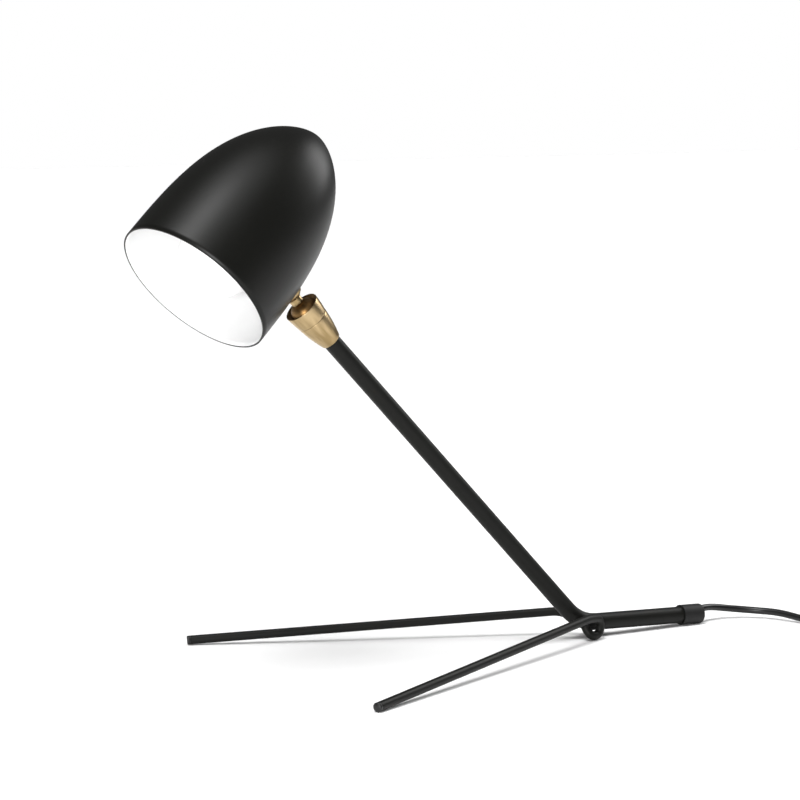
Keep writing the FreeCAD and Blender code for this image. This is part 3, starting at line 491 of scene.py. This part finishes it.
# %% Turn the cup
cup_outline = arc((cup_foot_radius, cup_foot), (split_radius, split), side_round)
cup_outline += [
    (spigot_radius, split), (spigot_radius, spigot_top), (seat_radius, spigot_top), (seat_radius, shelf),
    (nut_radius, shelf), (nut_radius, web_top)]
cup_outline += [
    (nipple_radius + close_fit, web_top), (nipple_radius + close_fit, web_foot),
    (tube_radius + close_fit, web_foot), (tube_radius + close_fit, cup_foot)]
add_piece("brass_cup", lathe("brass_cup", cup_outline, stem_place), "base", [brass], ["joint_cup"])

# %% Turn the collar
collar_seat, collar_bore = ball_radius + ball_gap, spigot_radius + close_fit
collar_outline = arc((split_radius, split + seam), (mouth_radius, mouth - mouth_bevel), side_round)
collar_outline += [(mouth_radius - mouth_bevel, mouth), (mouth_radius - mouth_lip, mouth)]
collar_outline += arc((on_circle(collar_seat, lip), lip), (collar_seat, 0.0), collar_seat, 6)
collar_outline += [
    (collar_seat, spigot_top + seam), (collar_bore, spigot_top + seam), (collar_bore, split + seam)]
collar_mesh = lathe("brass_collar", collar_outline, stem_place)
add_piece("brass_collar", collar_mesh, "base", [brass, shaded_brass], ["joint_collar"])
# The faces inside the collar get the dark brass: painted shade in its hollow.
paint_inside(collar_mesh, stem_place)

# %% Turn the ball and the stud
ball_bore = stud_radius + close_fit
ball_foot = (stud_bore, -on_circle(ball_radius, stud_bore))
ball_outline = arc(ball_foot, (ball_radius, 0.0), ball_radius, 12)[:-1]
ball_outline += arc((ball_radius, 0.0), (ball_bore, on_circle(ball_radius, ball_bore)), ball_radius, 12)
ball_outline += [(ball_bore, stud_foot - seam), (stud_bore, stud_foot - seam)]
stud_outline = [
    (stud_bore, stud_foot), (stud_radius, stud_foot), (stud_radius, neck_foot), (neck_radius, neck_foot),
    (neck_radius, neck_end), (stud_radius, neck_end), (stud_radius, stud_end), (stud_bore, stud_end)]
ball_mesh = lathe("brass_ball", ball_outline, head_place)
# The whole ball is dark brass, as painted shade and a painted reflection of the black lampshade above.
add_piece("brass_ball", ball_mesh, "tilt", [shaded_brass], ["joint_ball"])
stud_mesh = lathe("brass_stud", stud_outline, head_place)
add_piece("brass_stud", stud_mesh, "head", [brass], ["ball_stud"])

# %% [markdown]
# ## The bulb
# A frosted bulb hardly shows in the white shade: only the edge of its globe is a shade greyer. Its
# section is an arc that runs on into the neck.

# %% Blow the bulb
globe_radius, globe_wall, globe_centre = 22.5, 1.0, 24.0
shoulder, shoulder_bore, glass_top, glass_top_radius, glass_top_bore = 37.0, 16.7, 50.5, 7.0, 5.0
globe_bore = globe_radius - globe_wall
widest = (globe_radius, globe_centre)
above = on_circle(globe_radius, shoulder - globe_centre)
globe_outline = arc((0.0, globe_centre - globe_radius), widest, globe_radius, 16)[:-1]
globe_outline += arc(widest, (above, shoulder), globe_radius, 10)
globe_outline += [(glass_top_radius, glass_top), (glass_top_bore, glass_top), (shoulder_bore, shoulder)]
globe_outline += arc((globe_bore, globe_centre), (0.0, globe_centre - globe_bore), globe_bore, 16)
add_piece(
    "bulb_glass", lathe("bulb_glass", globe_outline, shade_place, rounding=0, closed=False), "head",
    [frosted_glass], ["bulb_globe"], 50)

# %% [markdown]
# ## The pieces that keep their CAD shape
# Tubes, rods, nuts and the folded bracket are already right. A CAD mesh is loose triangles, which can't
# be shaded smooth, so a copy of it is merged, its round faces are smoothed and its edges are kept sharp.

# %% Dress the other pieces
def dress(node, body, material, angle=32):
    """A merged and smoothed copy of a CAD node, in its place."""
    form = bmesh.new()
    form.from_mesh(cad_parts[node].data)
    bmesh.ops.remove_doubles(form, verts=form.verts[:], dist=2e-6)
    mesh = bpy.data.meshes.new(node + "_dressed")
    form.to_mesh(mesh)
    form.free()
    return add_piece(node + "_dressed", mesh, body, [material], [node], angle)


on_base = {
    "stem_tube": ("black_paint", black_paint), "near_leg_rod": ("black_paint", black_paint),
    "far_leg_rod": ("black_paint", black_paint),
    "near_foot_tip": ("black_plastic", black_plastic), "far_foot_tip": ("black_plastic", black_plastic),
    "rear_end_cap": ("black_rubber", black_rubber), "cord_bush": ("black_rubber", black_rubber),
    "disc_spring": ("steel", steel), "stem_nipple": ("steel", steel), "nipple_nut": ("steel", steel),
    "inner_lead": ("cord_sheath", cord_sheath), "cord_tie": ("black_plastic", black_plastic),
    "plug_body": ("plug_plastic", black_plastic), "plug_left_pin": ("pin_metal", pin_metal),
    "plug_right_pin": ("pin_metal", pin_metal)}
on_head = {
    "stud_boss": ("brass", brass), "inner_spacer": ("white_paint", white_paint),
    "holder_bracket": ("white_paint", white_paint),
    "lock_washer": ("steel", steel), "stud_nut": ("steel", steel),
    "lampholder_body": ("white_plastic", white_plastic),
    "lampholder_ring": ("white_plastic", white_plastic),
    "lampholder_shell": ("brass_sheet", brass_sheet), "lampholder_contact": ("brass_sheet", brass_sheet),
    "bulb_cap": ("aluminium", bulb_metal), "bulb_contact": ("brass_sheet", brass_sheet),
    "holder_lead": ("white_lead", white_lead)}
for node, (slot, material) in on_base.items():
    dress(node, "base", material)
for node, (slot, material) in on_head.items():
    dress(node, "head", material)
dress("ball_seat", "swivel", white_plastic)

# %% [markdown]

# %% [markdown]
# ## The studio
# The lamp stands on plain white paper under large soft lights. Black paint shows mostly what it mirrors,
# so the lights' sizes and places draw the soft bands on the shade. A low light by the camera shines into
# the shade's mouth. The world is white where the camera sees it, and is dimmer for all else, so that it
# lights the lamp at a plain level.

# %% Floor
floor_mesh = bpy.data.meshes.new("floor")
form = bmesh.new()
bmesh.ops.create_grid(form, x_segments=1, y_segments=1, size=6.0)
form.to_mesh(floor_mesh)
form.free()
floor = bpy.data.objects.new("floor", floor_mesh)
bpy.context.scene.collection.objects.link(floor)
floor.location.z = -0.0002


# %% White paper and a white world
def seen(tree):
    """1 for rays from the camera, 0 for the rest."""
    path = tree.nodes.new("ShaderNodeLightPath")
    return Signal(tree, path.outputs["Is Camera Ray"])


floor_paper = bpy.data.materials.new("white_paper")
floor_paper.use_nodes = True
paper = floor_paper.node_tree.nodes["Principled BSDF"]
paper.inputs["Base Color"].default_value = (0.98, 0.98, 0.98, 1)
paper.inputs["Roughness"].default_value = 0.9
paper.inputs["Specular IOR Level"].default_value = 0.0
floor_mesh.materials.append(floor_paper)

world = bpy.data.worlds.new("studio")
bpy.context.scene.world = world
world.use_nodes = True
world_level = 0.12
tree = world.node_tree
background = tree.nodes["Background"]
background.inputs["Color"].default_value = (1, 1, 1, 1)
tree.links.new((world_level + (1 - world_level) * seen(tree)).socket, background.inputs["Strength"])


# %% Lights
def softbox(name, place, target, width, height, watts):
    """A rectangular soft light that points at target."""
    lamp = bpy.data.lights.new(name, "AREA")
    lamp.shape = "RECTANGLE"
    lamp.size = width
    lamp.size_y = height
    lamp.energy = watts
    light = bpy.data.objects.new(name, lamp)
    light.location = place
    light.rotation_euler = (Vector(target) - Vector(place)).to_track_quat("-Z", "Y").to_euler()
    bpy.context.scene.collection.objects.link(light)


def overhead(name, direction, angle, strength):
    """A round light far above that shines in a direction, as wide as its angle in degrees."""
    sun = bpy.data.lights.new(name, "SUN")
    sun.angle = math.radians(angle)
    sun.energy = strength
    light = bpy.data.objects.new(name, sun)
    light.rotation_euler = Vector(direction).to_track_quat("-Z", "Y").to_euler()
    bpy.context.scene.collection.objects.link(light)


overhead("overhead_heart", (0.34, 0.17, -0.92), 26, 1.8)
overhead("overhead_rim", (0.24, 0.17, -0.95), 62, 1.3)
softbox("right_box", (1.22, 0.09, 0.92), (-0.12, 0.0, 0.24), 0.6, 0.8, 8.5)
softbox("low_box", (-0.92, -0.90, 0.22), (-0.13, 0.0, 0.23), 0.4, 0.3, 11.0)
